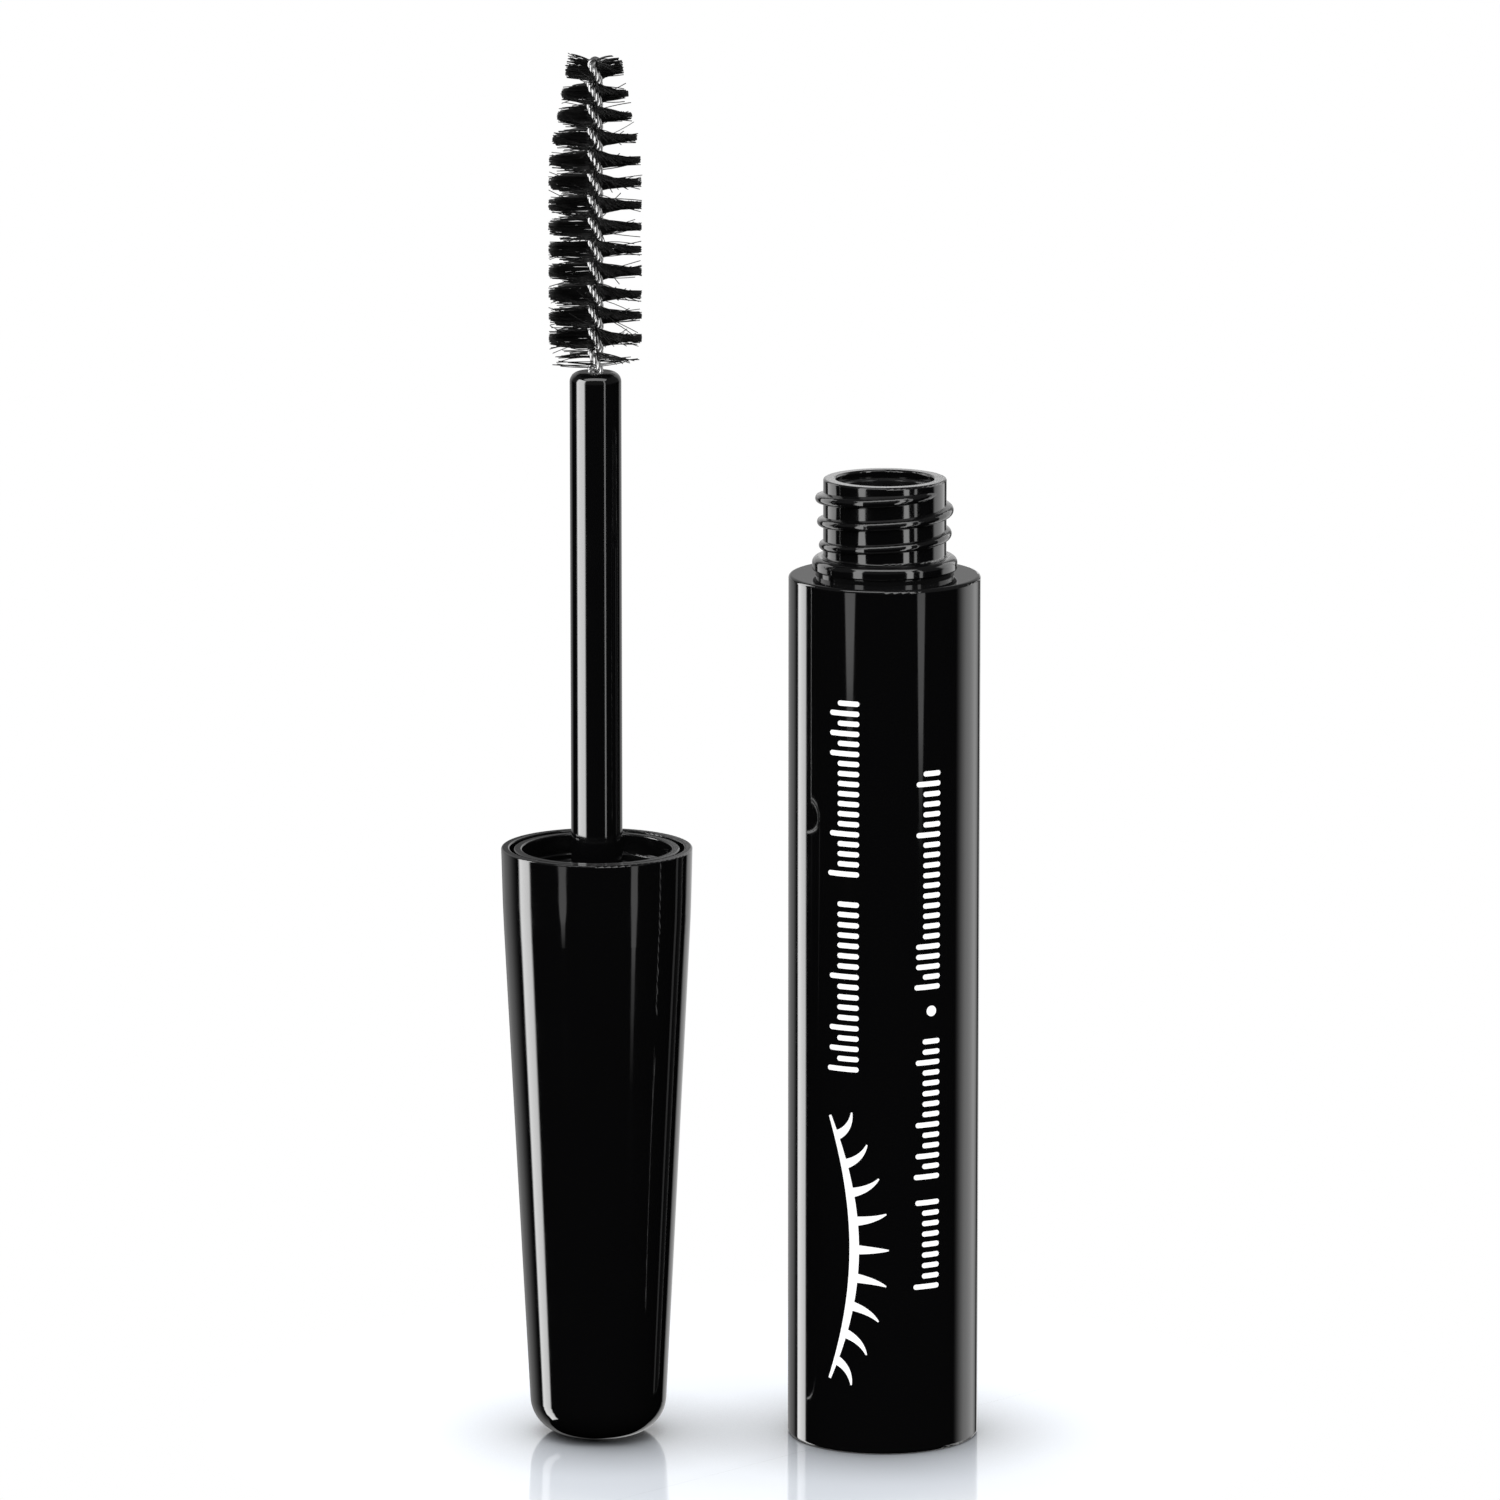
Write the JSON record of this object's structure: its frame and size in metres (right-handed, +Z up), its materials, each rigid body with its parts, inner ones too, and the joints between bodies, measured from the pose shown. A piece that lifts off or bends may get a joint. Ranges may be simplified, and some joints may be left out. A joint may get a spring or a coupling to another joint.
{
  "type": "mascara tube",
  "caption": "Opened mascara: a glossy black tube with a threaded neck, and its tapered cap with rod and twisted-wire brush standing beside it.",
  "frame": {"origin": "centre of the bottle's base, on the table", "axes": "+Z up along the bottle, +X from the wand towards the bottle, and +Y away from the side with the print"},
  "size_m": [0.0425, 0.017, 0.1241],
  "materials": {
    "shell": "high gloss black, injection moulded",
    "plug": "fine spark-eroded black",
    "vial": "gloss black",
    "wiper": "soft black polyethylene with a waxy sheen",
    "formula": "wet black cream",
    "cap": "high gloss black, injection moulded",
    "liner": "semi-gloss black",
    "seal": "matt dark grey foam",
    "rod": "gloss black",
    "wire": "bright drawn stainless wire",
    "bristles": "black nylon filament",
    "print": "white screen print"
  },
  "bodies": {
    "bottle": {"body_shell": "shell", "base_plug": "plug", "vial": "vial", "wiper": "wiper", "formula": "formula"},
    "seal": {"seal_washer": "seal"},
    "wand": {"cap_shell": "cap", "inner_cap": "liner", "rod": "rod", "core_wire": "wire", "bristles": "bristles"}
  },
  "joints": [
    {"name": "wand_turn_over", "type": "hinge", "parent": "bottle", "child": "seal", "pos_m": [-0.01275, 0, 0.1064], "axis": [0, 1, 0], "range_deg": [0, 180]},
    {"name": "cap_turn", "type": "hinge", "parent": "seal", "child": "wand", "pos_m": [-0.0255, 0, 0.0446], "axis": [0, 0, -1], "range_deg": [0, 864]}
  ]
}
